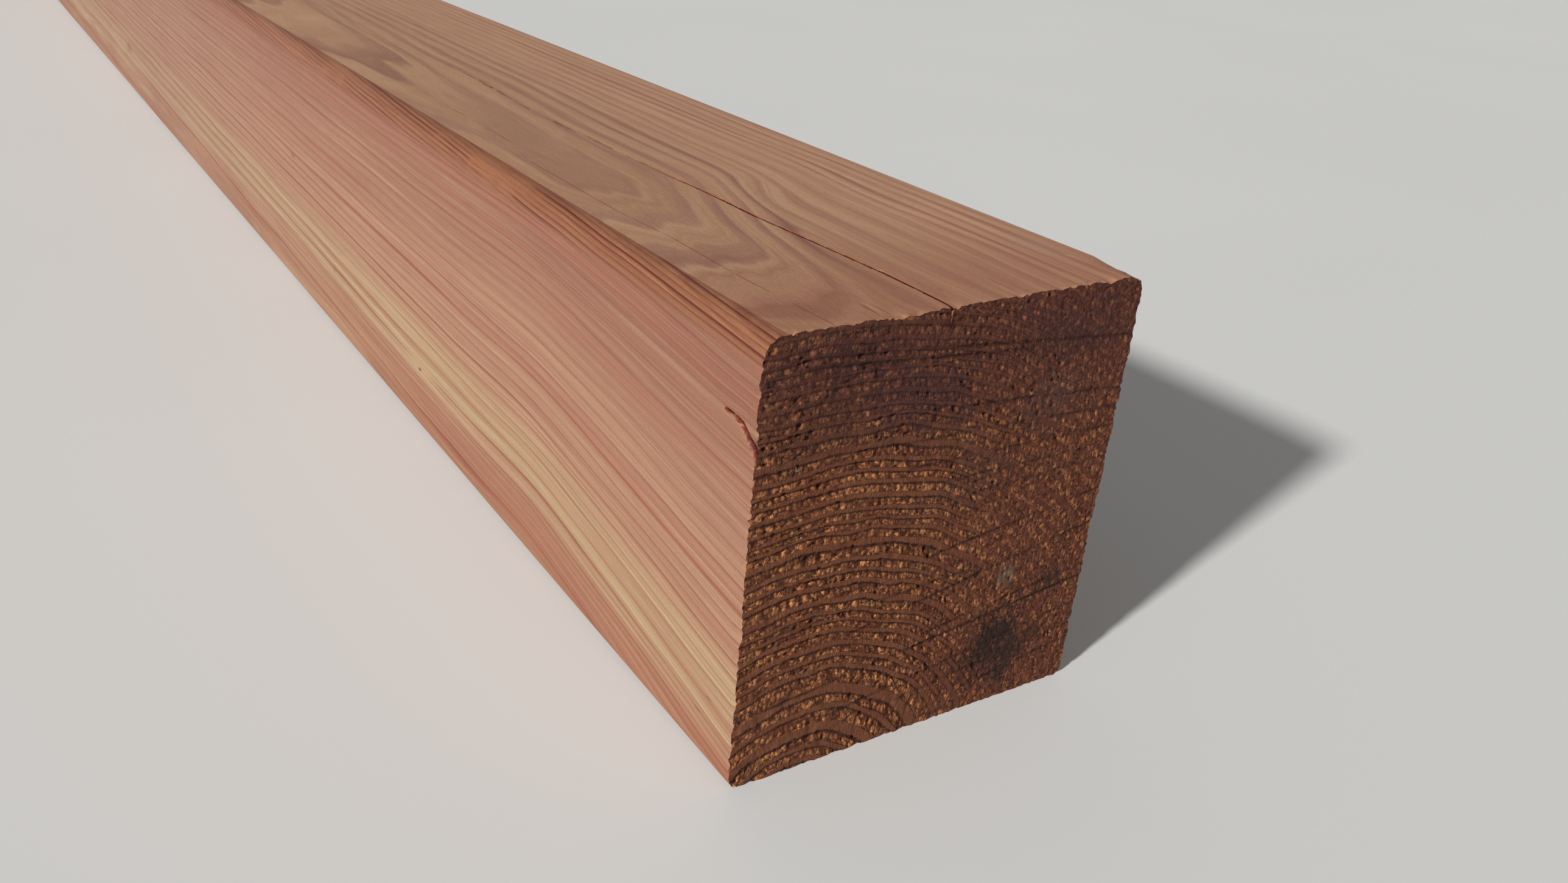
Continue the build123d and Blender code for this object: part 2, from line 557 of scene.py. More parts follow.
def refine(points, triangles, regions):
    """Halves edges that are too long, always with the longest of each triangle's edges too."""
    while True:
        start, end, edge_of = edges(points, triangles)
        lengths = np.linalg.norm(end - start, axis=1)
        middles = (start + end) / 2
        split = lengths > longest_edge(middles)
        if not split.any():
            return points, triangles, regions
        triangles, edge_of = longest_first(triangles, edge_of, lengths)
        missing = split
        while missing.any():
            missing = split[edge_of].any(axis=1) & ~split[edge_of[:, 0]]
            split[edge_of[missing, 0]] = True
        new_index = np.cumsum(split) - 1 + len(points)
        points = np.concatenate([points, middles[split]])
        triangles, regions = cut_triangles(triangles, regions, split[edge_of], new_index[edge_of])


def end_radius(y, z):
    """Distance from the pith on the near end, with the rings' small waves."""
    wander = END_WANDER * rough_noise(21, 2, y / 11, z / 11)
    return np.hypot(y - PITH_Y, z - PITH_Z) + wander * smooth(0, 6, inset(y, z))


def end_calm(y, z):
    """How far the near end is worn smooth: more to the right and at the top."""
    waver = 6 * rough_noise(27, 2, y / 9, z / 9)
    return np.maximum(0.75 * smooth(36, 74, y - LEFT_Y + waver), 0.35 * smooth(74, 92, z + waver))


def saw_marks(y, z):
    """How near each point of the near end lies to a straight mark of the saw."""
    marks = np.zeros(len(y))
    broken = 0.25 + 0.75 * smooth(-0.5, 0.4, smooth_noise(61, y / 8, z / 3))
    for start, end, strength in SAW_MARKS:
        beside = line_distance(y - LEFT_Y, z, (start, end))
        mark = strength * broken * bell(beside, SAW_MARK_HALF_WIDTH)
        marks = np.maximum(marks, mark)
    return marks


def end_relief(y, z, radius, calm):
    """How deep the near end is torn: rows of earlywood flakes between raised latewood."""
    count = ring_number(radius)
    share = count - np.floor(count)
    arc = radius * np.arctan2(y - PITH_Y, z - PITH_Z)
    jag = 0.06 * rough_noise(41, 2, arc, count * 2)
    late = smooth(0.56, 0.64, share + jag) * (1 - smooth(0.94, 1.0, share)) * (1 - 0.7 * calm)
    patch = smooth(-0.6, 0.8, rough_noise(25, 2, arc / 8, count * 0.7))
    groove = smooth(0.34, 0.48, share + jag) * (1 - smooth(0.54, 0.62, share + jag))
    groove = groove * (1 - 0.9 * calm) * (0.4 + 0.6 * patch)

    strength = (0.35 + 0.65 * patch) * (1 - 0.55 * calm)
    nearest, further, number = lumps(31, arc / 0.95, radius / 1.25)
    gap = 1 - smooth(0.0, 0.35, further - nearest)
    early = 0.02 + strength * (0.2 * gap + 0.5 * number**2)
    far, _, odds = lumps(35, arc / 1.9, radius / 1.7)
    early = early + 0.6 * smooth(0.36, 0.14, far) * (odds < 0.16) * smooth(0.3, 0.6, strength)
    grain = rough_noise(45, 2, y / 0.9, z / 0.9)
    early = early + 0.16 * (0.25 + calm) * (0.6 + grain)
    plate = rough_noise(51, 2, arc / 6, count * 1.3)
    depth = early + (0.12 + 0.09 * plate - early) * late + 0.17 * groove
    lost = smooth(0.35, 0.75, smooth_noise(55, arc / 3.2, count))
    depth = depth + 0.25 * lost * late
    return np.clip(depth + SAW_MARK_DEPTH * saw_marks(y, z), 0, 2.2)


def inward(points):
    """Unit directions across the timber, from the nearest side towards the middle."""
    y_gap = np.minimum(points[:, 1] - LEFT_Y, RIGHT_Y - points[:, 1]) + 0.4
    z_gap = np.minimum(points[:, 2] - BOTTOM_Z, TOP_Z - points[:, 2]) + 0.4
    direction = np.zeros_like(points)
    direction[:, 1] = -np.sign(points[:, 1]) / y_gap**2
    direction[:, 2] = np.sign(HEIGHT / 2 - points[:, 2]) / z_gap**2
    return direction / (np.linalg.norm(direction, axis=1, keepdims=True) + 1e-9)


def torn_rim(points, behind):
    """How far the edge of the near end is broken in across the timber."""
    _, y, z = points.T
    ragged = smooth(-0.4, 1.2, rough_noise(71, 3, y / 0.7, z / 0.7))
    notch = smooth(0.45, 0.85, smooth_noise(75, y / 3.7, z / 3.7))
    fade = np.exp(-behind / (0.3 + 0.6 * ragged + 1.2 * notch))
    return (0.5 * ragged + 0.35 * notch) * fade * falling(inset(y, z), RIM_WIDTH)


def missing_sliver(points, behind):
    """How far the top right edge has lost its sliver, with a step where it broke off."""
    x, y, z = points.T
    start = SLIVER_LENGTH + 0.5 * smooth_noise(81, y / 1.3, z / 1.3)
    length_share = 1 - smooth(-0.3, 0.3, behind - start)
    gap = np.hypot(RIGHT_Y - y, TOP_Z - z)
    deepening = falling(behind, SLIVER_LENGTH)
    depth = SLIVER_BACK_DEPTH + (SLIVER_END_DEPTH - SLIVER_BACK_DEPTH) * deepening
    waver = 0.85 + 0.2 * smooth_noise(82, x / 2.5, z / 2.5)
    return depth * waver * length_share * falling(gap, SLIVER_REACH) ** 0.7


def snap_to_check(points, behind):
    """The points with those beside the check moved onto it, so that its floor is a clean line."""
    centre = check_offset(behind)
    close = (np.abs(points[:, 1] - centre) < CHECK_SNAP) & (points[:, 2] > TOP_Z - ON_FACE)
    close &= (behind > 0) & (behind < CHECK_LENGTH)
    points[close, 1] = centre[close]
    return points


def check_opening(points, behind):
    """Depth of the drying check below the top face."""
    beside = np.abs(points[:, 1] - check_offset(behind))
    open_share = 1 - smooth(CHECK_OPEN_LENGTH - CHECK_CLOSING, CHECK_OPEN_LENGTH, behind)
    half_width = CLOSED_HALF_WIDTH + (CHECK_HALF_WIDTH - CLOSED_HALF_WIDTH) * open_share
    depth = CHECK_RIDGE_DEPTH + (CHECK_DEPTH - CHECK_RIDGE_DEPTH) * open_share
    depth = depth * (1 - smooth(CHECK_LENGTH - CHECK_TIP, CHECK_LENGTH, behind))
    profile = falling(beside, half_width) ** 0.6
    return np.where(points[:, 2] > TOP_Z - ON_FACE, depth * profile, 0)


def chip_opening(points, behind):
    """Depth of the torn chip in from the left face, and how near its crack lies."""
    height = points[:, 2]
    on_left = points[:, 1] < LEFT_Y + 0.05
    places, levels = zip(*sorted(CHIP_CRACK))
    above = height - np.interp(behind, places, levels)
    fade = 1 - smooth(0, CHIP_FADE, np.maximum(above, 0))
    toward_end = falling(behind, CHIP_LENGTH)
    recess = CHIP_DEPTH * toward_end * fade * smooth(-0.15, 0.15, above)
    gap = line_distance(behind, height, CHIP_CRACK)
    crevice = CREVICE_DEPTH * bell(gap, CREVICE_WIDTH) * smooth(CHIP_REACH, CREVICE_FULL, behind)
    return np.where(on_left, recess + crevice, 0), np.where(on_left, bell(gap, TORN_WIDTH), 0)


def shape_timber(points):
    """Moves the points of the flat-faced timber inwards to their torn and worn places."""
    behind = np.maximum(near_end_x(points[:, 2]) - points[:, 0], 0)
    points = snap_to_check(points.copy(), behind)
    y, z = points[:, 1], points[:, 2]
    radius = end_radius(y, z)
    calm = end_calm(y, z)
    relief = end_relief(y, z, radius, calm) * falling(behind, END_RELIEF_REACH)
    check_depth = check_opening(points, behind)
    chip_depth, chip_near = chip_opening(points, behind)
    across = torn_rim(points, behind) + missing_sliver(points, behind)
    moved = points + inward(points) * across[:, None]
    moved[:, 0] -= relief
    moved[:, 1] += chip_depth
    moved[:, 2] -= check_depth
    attributes = {
        "ring_radius": radius,
        "calm": calm,
        "saw_mark": saw_marks(y, z),
        "depth": relief,
        "torn": np.clip(chip_near, 0, 1),
        "open_depth": np.clip(check_depth + chip_depth, 0, 4),
    }
    return moved, attributes


def unwrap(points, triangles, regions):
    """Flat places for the corners: two long strips for the sides, and the ends above them."""
    corners = points[triangles]
    middles = corners.mean(axis=1)
    flat = np.zeros((len(triangles), 3, 2))
    y = corners[:, :, 1]
    z = corners[:, :, 2]
    around = perimeter_place(y, z)
    middle_around = perimeter_place(middles[:, 1], middles[:, 2])[:, None]
    around = np.where(around - middle_around > 0.5, around - 1, around)
    around = np.where(middle_around - around > 0.5, around + 1, around)
    for half, base in ((NEAR_HALF, 0.005), (FAR_HALF, 0.375)):
        mine = regions == half
        start = MIDDLE_X if half == NEAR_HALF else FAR_X
        flat[mine, :, 0] = 0.01 + 0.98 * (corners[mine, :, 0] - start) / (NEAR_X - MIDDLE_X)
        flat[mine, :, 1] = base + 0.36 * np.clip(around[mine], 0, 1)
    for end, base in ((NEAR_END, 0.01), (FAR_END, 0.5)):
        mine = regions == end
        flat[mine, :, 0] = base + 0.22 * (y[mine] - LEFT_Y) / WIDTH
        flat[mine, :, 1] = 0.75 + 0.24 * (z[mine] - BOTTOM_Z) / HEIGHT
    return flat.reshape(-1, 2)


def perimeter_place(y, z):
    """Share of the way round the section, from the middle of the bottom face."""
    half_width, half_height = WIDTH / 2, HEIGHT / 2
    z = z - half_height
    reach = np.maximum(np.abs(y) / half_width, np.abs(z) / half_height) + 1e-9
    y, z = y / reach, z / reach
    around = 2 * (WIDTH + HEIGHT)
    on_bottom = z < EDGE_NEARNESS - half_height
    on_right = y > half_width - EDGE_NEARNESS
    on_top = z > half_height - EDGE_NEARNESS
    places = (y, y + around, half_width + half_height + z, WIDTH + HEIGHT - y)
    on_left_place = half_width + half_height + WIDTH + HEIGHT - z
    return np.select((on_bottom & (y >= 0), on_bottom, on_right, on_top), places, on_left_place) / around


def srgb(red, green, blue):
    """A colour given as 0 to 255 numbers, for a shader."""
    linear = []
    for value in (red, green, blue):
        share = value / 255
        linear.append(share / 12.92 if share <= 0.04045 else ((share + 0.055) / 1.055) ** 2.4)
    return (*linear, 1.0)


class Signal:
    """One output of a material's node, which can be added, multiplied and so on as a number can."""

    def __init__(self, shader, socket):
        self.shader = shader
        self.socket = socket

    def __add__(self, other):
        return self.shader.math("ADD", self, other)

    def __sub__(self, other):
        return self.shader.math("SUBTRACT", self, other)

    def __mul__(self, other):
        return self.shader.math("MULTIPLY", self, other)

    def __truediv__(self, other):
        return self.shader.math("DIVIDE", self, other)

    def __pow__(self, other):
        return self.shader.math("POWER", self, other)

    def rise(self, low, high):
        return self.shader.rise(self, low, high)


class Shader:
    """A material's nodes: each call adds one and gives back its output."""

    def __init__(self, name):
        self.material = bpy.data.materials.new(name)
        self.material.use_nodes = True
        self.tree = self.material.node_tree
        self.surface = self.tree.nodes["Principled BSDF"]

    def plug(self, socket, value):
        if isinstance(value, Signal):
            self.tree.links.new(value.socket, socket)
        else:
            socket.default_value = value

    def add(self, kind, inputs=(), output=0, **settings):
        node = self.tree.nodes.new(kind)
        for name, value in settings.items():
            setattr(node, name, value)
        for key, value in dict(inputs).items():
            self.plug(node.inputs[key], value)
        return Signal(self, node.outputs[output])

    def math(self, operation, *values, clamp=False):
        return self.add("ShaderNodeMath", enumerate(values), operation=operation, use_clamp=clamp)

    def sine(self, angle):
        return self.math("SINE", angle)

    def combine(self, *parts):
        return self.add("ShaderNodeCombineXYZ", enumerate(parts))

    def split(self, vector):
        first = self.add("ShaderNodeSeparateXYZ", {0: vector})
        return [Signal(self, output) for output in first.socket.node.outputs]

    def scaled(self, vector, factors):
        """A vector with each of its parts times a number of its own."""
        return self.add("ShaderNodeVectorMath", {0: vector, 1: factors}, operation="MULTIPLY")

    def attribute(self, name):
        return self.add("ShaderNodeAttribute", output="Fac", attribute_name=name)

    def rise(self, value, low, high):
        """A smooth rise from 0 to 1 between two values."""
        inputs = {"Value": value, "From Min": low, "From Max": high}
        return self.add("ShaderNodeMapRange", inputs, interpolation_type="SMOOTHSTEP")

    def mix(self, share, first, second, blend="MIX"):
        inputs = {0: share, 6: first, 7: second}
        return self.add("ShaderNodeMix", inputs, output=2, data_type="RGBA", blend_type=blend)

    def between(self, share, tints):
        """A colour at a share of the way from the first of two colours to the second."""
        first, second = (srgb(*tint) for tint in tints)
        return self.mix(share, first, second)

    def paint(self, colour, *layers):
        """A colour with layers laid over it, each given by its share and its own colour."""
        for share, tint in layers:
            colour = self.mix(share, colour, srgb(*tint))
        return colour

    def noise(self, vector, detail=2.0, roughness=0.5, scale=1.0):
        inputs = {"Vector": vector, "Scale": scale, "Detail": detail, "Roughness": roughness}
        return self.add("ShaderNodeTexNoise", inputs, output="Fac")

    def streaks(self, place, along, across, detail=2.0, roughness=0.5):
        """Noise whose features are this long along the grain and this wide across it."""
        return self.noise(self.scaled(place, (1 / along, 1 / across, 1 / across)), detail, roughness)

    def chance(self, number):
        return self.add("ShaderNodeTexWhiteNoise", {"W": number}, noise_dimensions="1D")

    def cells(self, vector):
        """Distance to the nearest scattered point, and that point's own random number."""
        distance = self.add("ShaderNodeTexVoronoi", {"Vector": vector, "Scale": 1.0})
        colour = Signal(self, distance.socket.node.outputs["Color"])
        return distance, self.add("ShaderNodeSeparateColor", {0: colour})

    def ramp(self, value, stops):
        """A colour that runs through stops, each a value and its colour."""
        colour = self.add("ShaderNodeValToRGB", {0: value})
        elements = colour.socket.node.color_ramp.elements
        while len(elements) < len(stops):
            elements.new(0.5)
        for element, (position, tint) in zip(elements, stops):
            element.position = position
            element.color = srgb(*tint)
        return colour

    def route(self, value, points, spread):
        """The second number of a list of points at a value of the first, with straight runs."""
        reach = points[-1][0]
        share = self.add("ShaderNodeFloatCurve", {"Value": value / reach})
        mapping = share.socket.node.mapping
        corners = mapping.curves[0].points
        while len(corners) < len(points):
            corners.new(0.5, 0.5)
        for corner, (place, height) in zip(corners, points):
            corner.location = (place / reach, height / spread)
            corner.handle_type = "VECTOR"
        mapping.update()
        return share * spread

    def band(self, value, centre, half_width, core=SPOT_CORE):
        """1 along a centre line, fading out at this distance from it."""
        return (self.math("ABSOLUTE", value - centre) / half_width).rise(1.0, core)

    def spot(self, first, second, centre, size, turn, edge):
        """1 in an oval about a centre, fading out at its edge; turn is its slope in degrees."""
        cosine, sine = math.cos(math.radians(turn)), math.sin(math.radians(turn))
        a = first - centre[0]
        b = second - centre[1]
        run = a * (cosine / size[0]) + b * (sine / size[0])
        off = a * (-sine / size[1]) + b * (cosine / size[1])
        flat = self.combine(run, off)
        distance = self.add("ShaderNodeVectorMath", {0: flat}, output="Value", operation="LENGTH")
        return (distance + edge).rise(1.0, SPOT_CORE)

    def paint_spots(self, colour, first, second, mask, spots, edge=0.0):
        """Small marks on one face: each has a centre, a size, a slope, a strength and a colour."""
        for centre, size, turn, strength, tint in spots:
            share = self.spot(first, second, centre, size, turn, edge) * mask * strength
            colour = self.mix(share, colour, srgb(*tint))
        return colour

    def finish(self, relief, **inputs):
        """The material with its settings, and with fine relief given as heights in millimetres."""
        if relief is not None:
            bump = {"Height": relief, "Distance": MM, "Strength": 1.0}
            inputs["Normal"] = self.add("ShaderNodeBump", bump)
        for name, value in inputs.items():
            self.plug(self.surface.inputs[name.replace("_", " ")], value)
        return self.material


def object_place(shader):
    """The place in millimetres, whole and as its three parts."""
    coordinates = shader.add("ShaderNodeTexCoord", output="Object")
    place = shader.scaled(coordinates, (1 / MM, 1 / MM, 1 / MM))
    return place, *shader.split(place)


def grain_drift(shader, x, y, z):
    """How far the rings have risen at each place, and its distance behind the near end."""
    cut = z * NEAR_CUT_SLOPE + (NEAR_X - TOP_Z * NEAR_CUT_SLOPE)
    behind = shader.math("MAXIMUM", cut - x, 0.0)
    full = LEFT_Y + DRIFT_FULL_WIDTH
    delay = y.rise(full, full + DRIFT_DELAY_WIDTH)
    start = delay * DRIFT_START_DELAY + DRIFT_STEP_START
    stop = delay * DRIFT_STOP_DELAY + DRIFT_STEP_STOP
    climb = behind.rise(start, stop) - shader.rise(0.0, start, stop)
    offset = (behind - DRIFT_SWELL_PLACE) / DRIFT_SWELL_LENGTH
    bell = shader.math("EXPONENT", offset * offset * -1.0)
    drift = climb * DRIFT_STEP + behind * DRIFT_RATE + bell * DRIFT_SWELL
    fade = y.rise(full, LEFT_Y + DRIFT_FADE_WIDTH)
    drift = drift * (fade * -DRIFT_FADE + 1.0)
    loss = (DRIFT_AT_TOP - DRIFT_AT_BOTTOM) / HEIGHT
    return drift * (z * loss + DRIFT_AT_BOTTOM), behind


def year(shader, count):
    """The share of the year's growth at a count of rings, and the year's own random number."""
    return shader.math("FRACT", count), shader.chance(shader.math("FLOOR", count))


def side_waver(shader, place, behind):
    """Small waves of the rings along the faces, which die out at the near end."""
    slow = shader.streaks(place, 90, 9, 1.0) * 2.2 - 1.1
    fine = shader.streaks(place, 16, 2.4, 1.0) * 0.2 - 0.1
    return (slow + fine) * behind.rise(0.0, 25.0)


class Grain:
    """Where a shader's point lies in the timber, and the growth ring that it cuts."""

    def __init__(self, shader):
        self.shader = shader
        self.place, self.x, self.y, self.z = object_place(shader)
        drift, self.behind = grain_drift(shader, self.x, self.y, self.z)
        self.level = self.z - drift
        side = self.y - PITH_Y
        height = self.level - PITH_Z
        waver = side_waver(shader, self.place, self.behind)
        self.radius = shader.math("SQRT", side * side + height * height) + waver
        self.count = ring_number(self.radius, shader.sine)
        self.share, self.luck = year(shader, self.count)

    def along_rings(self, length, width, detail=3.0):
        """Noise in streaks of this length along the grain, which follow the rings."""
        place = self.shader.combine(self.x / length, self.radius / width)
        return self.shader.noise(place, detail, 0.6)


def ring_lines(shader, grain):
    """Thin dark lines where the rings are cut steeply: one strong line a year and fainter ones."""
    strong = shader.math("COMPARE", shader.math("FLOOR", grain.count), DARK_YEAR, 0.5)
    weight = shader.math("MAXIMUM", grain.luck**1.4 * 0.7 + 0.3, strong)
    line = grain.share**5.0 + grain.share**2.0 * 0.35
    line = line * grain.share.rise(1.0, 0.91) * weight
    share, luck = year(shader, grain.count * FAINT_LINES + 0.37)
    faint = share**2.0 * share.rise(1.0, 0.82) * luck * 0.78
    patchy = grain.along_rings(80, 2.5) * 1.1 + 0.35
    return shader.math("MULTIPLY", shader.math("MAXIMUM", line, faint), patchy, clamp=True)


def side_wood(shader, grain, streak, line):
    """Left, right and bottom faces: a pale streak low down, pinker and darker wood above."""
    climb = grain.behind.rise(0.0, 120.0) * -8.0
    level = (streak - 0.5) * 0.12 + (grain.z + climb) / HEIGHT
    broad = grain.along_rings(240, 5, 2.0)
    return shader.paint(
        shader.ramp(level, SIDE_TINTS),
        (broad.rise(0.48, 0.68) * 0.6, PINK_WOOD),
        (broad.rise(0.48, 0.32) * 0.4, PALE_WOOD),
        (grain.behind.rise(150.0, 700.0) * 0.5, FAR_WOOD),
        (line, RING_LINE),
    )


def top_wood(shader, grain, streak):
    """Top face: wide soft bands of mauve latewood, pinker to the right and browner at the near end."""
    slow = shader.streaks(grain.place, 45, 14)
    band = grain.share.rise(0.3, 0.82) * grain.share.rise(1.0, 0.84)
    weight = (grain.luck * 0.6 + 0.4) * (slow * 1.2 + 0.4)
    fading = grain.behind.rise(130.0, 500.0) * -0.35 + 1.0
    band = shader.math("MULTIPLY", band, weight, clamp=True) * fading
    right = grain.y.rise(-20.0, 40.0)
    light = shader.between(right, TOP_LIGHT)
    return shader.paint(
        shader.mix(band, light, shader.between(right, TOP_DARK)),
        ((slow * -0.5 + streak).rise(0.2, 0.5) * 0.3, TOP_PINK),
        (grain.behind.rise(60.0, 5.0) * 0.5, TOP_BROWN),
    )


def worn_edge(shader, grain, colour):
    """The worn top left edge: darker saturated wood with long reddish lines, sharply off the top."""
    edge_y, edge_z = LEFT_Y + TOP_LEFT_ARRIS, TOP_Z - TOP_LEFT_ARRIS
    worn = grain.y.rise(edge_y + 0.3, edge_y - 0.1) * grain.z.rise(edge_z - 2.5, edge_z + 0.8)
    sway = shader.noise(shader.combine(grain.x / 70))
    around = grain.x * EDGE_LINE_SLOPE + (sway * 2.4 + (grain.y + grain.z))
    share, luck = year(shader, around / EDGE_LINE_GAP)
    stripe = share**2.5 * share.rise(1.0, 0.86) * (luck * 1.4 + 0.75)
    whole = grain.along_rings(45, 30).rise(0.3, 0.5)
    stripe = shader.math("MULTIPLY", stripe, whole, clamp=True)
    edge = shader.paint(shader.between(grain.along_rings(60, 1.0), EDGE_WOOD), (stripe, EDGE_LINE))
    strength = grain.behind.rise(110.0, 420.0) * -0.5 + 0.94
    colour = shader.mix(worn * strength, colour, edge)
    return shader.paint(colour, (shader.band(grain.y, edge_y + 0.15, 0.3) * 0.4, EDGE_SEAM))


def top_mask(grain):
    """1 on the top face, with the walls of the cracks in it, and 0 on the faces beside it."""
    left = LEFT_Y + TOP_LEFT_ARRIS
    level = grain.z.rise(TOP_Z - 6.0, TOP_Z - 5.0)
    return level * grain.y.rise(left - 0.3, left + 0.1) * grain.y.rise(RIGHT_Y - 0.6, RIGHT_Y - 1.6)


def paint_check(shader, grain, colour, on_top):
    """The drying check: a painted highlight along its right side for its lit wall, and a painted shadow
    for its dark core.
    """
    ragged = shader.noise(shader.combine(grain.x / 1.3), 3.0, 0.6)
    beside = grain.y - LEFT_Y - shader.route(grain.behind, CHECK_ROUTE, WIDTH)
    rough = (ragged - 0.5) * 0.5 + beside
    closing = on_top * grain.behind.rise(CHECK_LENGTH, CHECK_LENGTH - 60)
    opened = grain.behind.rise(CHECK_OPEN_LENGTH + 12, CHECK_OPEN_LENGTH - 12)
    broken = grain.along_rings(9, 40).rise(0.44, 0.6)
    dark = shader.math("MAXIMUM", opened, broken * 0.55)
    # Painted highlight for the check's lit right wall, and a painted shadow for its core
    return shader.paint(
        colour,
        (shader.band(rough, 0.48, 0.36, 0.0) * closing * (broken * 0.45 + 0.4), CHECK_WALL_HIGHLIGHT),
        (shader.band(rough, -0.12, 0.46, 0.5) * closing * dark, CRACK_SHADOW),
    )


def paint_hairline(shader, grain, colour, on_top):
    """The hairline check, a thin and broken reddish line."""
    beside = grain.y - LEFT_Y - shader.route(grain.behind, HAIRLINE_ROUTE, WIDTH)
    reach = HAIRLINE_ROUTE[-1][0]
    within = on_top * grain.behind.rise(reach, reach - 10)
    broken = grain.along_rings(12, 30).rise(0.36, 0.55)
    return shader.paint(colour, (shader.band(beside, 0.0, 0.26, 0.1) * within * broken * 0.75, HAIRLINE))


def paint_chip(shader, grain, colour, on_top):
    """The splintered crack of the chip with a painted shadow in its core, and painted shade inside it
    and the check.
    """
    splinter = shader.streaks(grain.place, 1.4, 0.45, 3.0, 0.6)
    torn = (splinter - 0.5) * 1.3 + shader.attribute("torn")
    # Painted shade on the walls of the check and in the chip's recess, by their depth
    hollow_shade = shader.attribute("open_depth").rise(on_top * -0.48 + 0.5, on_top * -1.0 + 1.3)
    return shader.paint(
        colour,
        (torn.rise(0.38, 0.68), CHIP_RED),
        # Painted shadow in the core of the chip's crack
        (torn.rise(0.72, 0.98), CRACK_SHADOW),
        (hollow_shade, HOLLOW_SHADE),
    )


def fibre_tone(shader, grain, fibre, fleck, streak):
    """How much lighter or darker each fibre is, with less of that in the red."""
    fine = grain.along_rings(70, 0.5)
    tone = (fibre * 0.52 + 0.74) * (fleck * 0.34 + 0.83) * (streak * 0.7 + 0.65) * (fine * 0.7 + 0.65)
    return shader.add("ShaderNodeCombineColor", {0: tone * 0.65 + 0.35, 1: tone, 2: tone})


def planed_wood():
    """Planed faces: rings cut lengthwise, fibres, streaks, cracks with painted shade and highlight, and
    small marks.
    """
    shader = Shader("planed_softwood")
    grain = Grain(shader)
    on_top = top_mask(grain)
    on_left = grain.y.rise(LEFT_Y + 2.0, LEFT_Y + 1.0)
    streak = grain.along_rings(150, 1.2, 4.0)
    line = ring_lines(shader, grain)
    side = side_wood(shader, grain, streak, line)
    colour = shader.mix(on_top, side, top_wood(shader, grain, streak))
    colour = worn_edge(shader, grain, colour)

    across = (grain.y / FIBRE_WIDTH, grain.level / FIBRE_WIDTH)
    thread = shader.combine(grain.x / FIBRE_LENGTH, *across)
    fibre = shader.noise(thread, 3.0, 0.6)
    fleck = shader.streaks(grain.place, 0.9, 0.45)
    tone = fibre_tone(shader, grain, fibre, fleck, streak)
    colour = shader.mix(1.0, colour, tone, blend="MULTIPLY")

    along = grain.x - END_X
    colour = shader.paint_spots(colour, along, grain.z, on_left, LEFT_SPOTS)
    colour = shader.paint_spots(colour, along, grain.y - LEFT_Y, on_top, TOP_SPOTS)
    for layer in (paint_hairline, paint_check, paint_chip):
        colour = layer(shader, grain, colour, on_top)
    relief = line * 0.05 + fibre * 0.06 + fleck * 0.03
    rough = fibre * 0.16 + 0.56
    return shader.finish(relief, Base_Color=colour, Roughness=rough, Specular_IOR_Level=0.28)


class EndGrain:
    """What a point of the near end shows: its ring, its flake and how calm the wood is there."""

    def __init__(self, shader):
        self.place, _, self.y, self.z = object_place(shader)
        self.calm = shader.attribute("calm")
        radius = shader.attribute("ring_radius")
        arc = radius * shader.math("ARCTAN2", self.y - PITH_Y, self.z - PITH_Z)
        self.comb = shader.noise(shader.scaled(shader.combine(arc, radius), (1 / 0.3, 1 / 1.6, 1.0)))
        self.share = shader.math("FRACT", ring_number(radius, shader.sine))
        self.jagged = self.share + (self.comb * 0.22 - 0.11)
        late = self.jagged.rise(0.56, 0.63) * self.share.rise(1.0, 0.94)
        self.late = late * (self.calm * -0.55 + 1.0)
        self.grit = shader.streaks(self.place, 0.8, 0.8, 3.0, 0.65)
        bent = shader.combine(self.grit * 1.3 + arc, self.comb * 1.1 + radius)
        self.flake, self.tint = shader.cells(shader.scaled(bent, (1 / 0.8, 1 / 1.15, 1.0)))


def torn_flakes(shader, end):
    """Earlywood of the near end: paler and darker flakes, with painted shade in the gaps between them
    and in the deepest pits.
    """
    return shader.paint(
        shader.between(end.tint**1.4, FLAKES),
        (end.grit.rise(0.52, 0.36), FLAKE_SHADE),
        # Painted shade between the flakes and, by depth, in the deepest pits
        (end.flake.rise(0.38, 0.68) * 0.7, FLAKE_GAP_SHADE),
        (shader.attribute("depth").rise(0.4, 1.1), PIT_SHADE),
    )


def end_wood(shader, end, blotch):
    """The near end before its stains: flakes and latewood, a painted shadow under each latewood strip,
    and grains where it is worn smooth.
    """
    latewood = shader.between(end.comb, LATEWOOD)
    grains = shader.between(end.grit.rise(0.38, 0.62), CALM_GRAINS)
    # Painted shadow just under each raised latewood strip
    shadow_under_strip = end.jagged.rise(0.4, 0.49) * end.jagged.rise(0.62, 0.56)
    colour = shader.paint(
        shader.mix(end.late, torn_flakes(shader, end), latewood),
        (shadow_under_strip * (end.calm * -0.75 + 0.8), STRIP_SHADOW),
        (blotch.rise(0.42, 0.62) * 0.3, END_RED),
    )
    ridge = end.share.rise(0.45, 0.65) * end.share.rise(1.0, 0.9) * end.calm
    return shader.paint(
        shader.mix(end.calm * 0.6, colour, grains),
        (ridge * 0.55, END_RIDGE),
        (end.z.rise(62.0, 92.0) * 0.5, END_HIGH),
    )


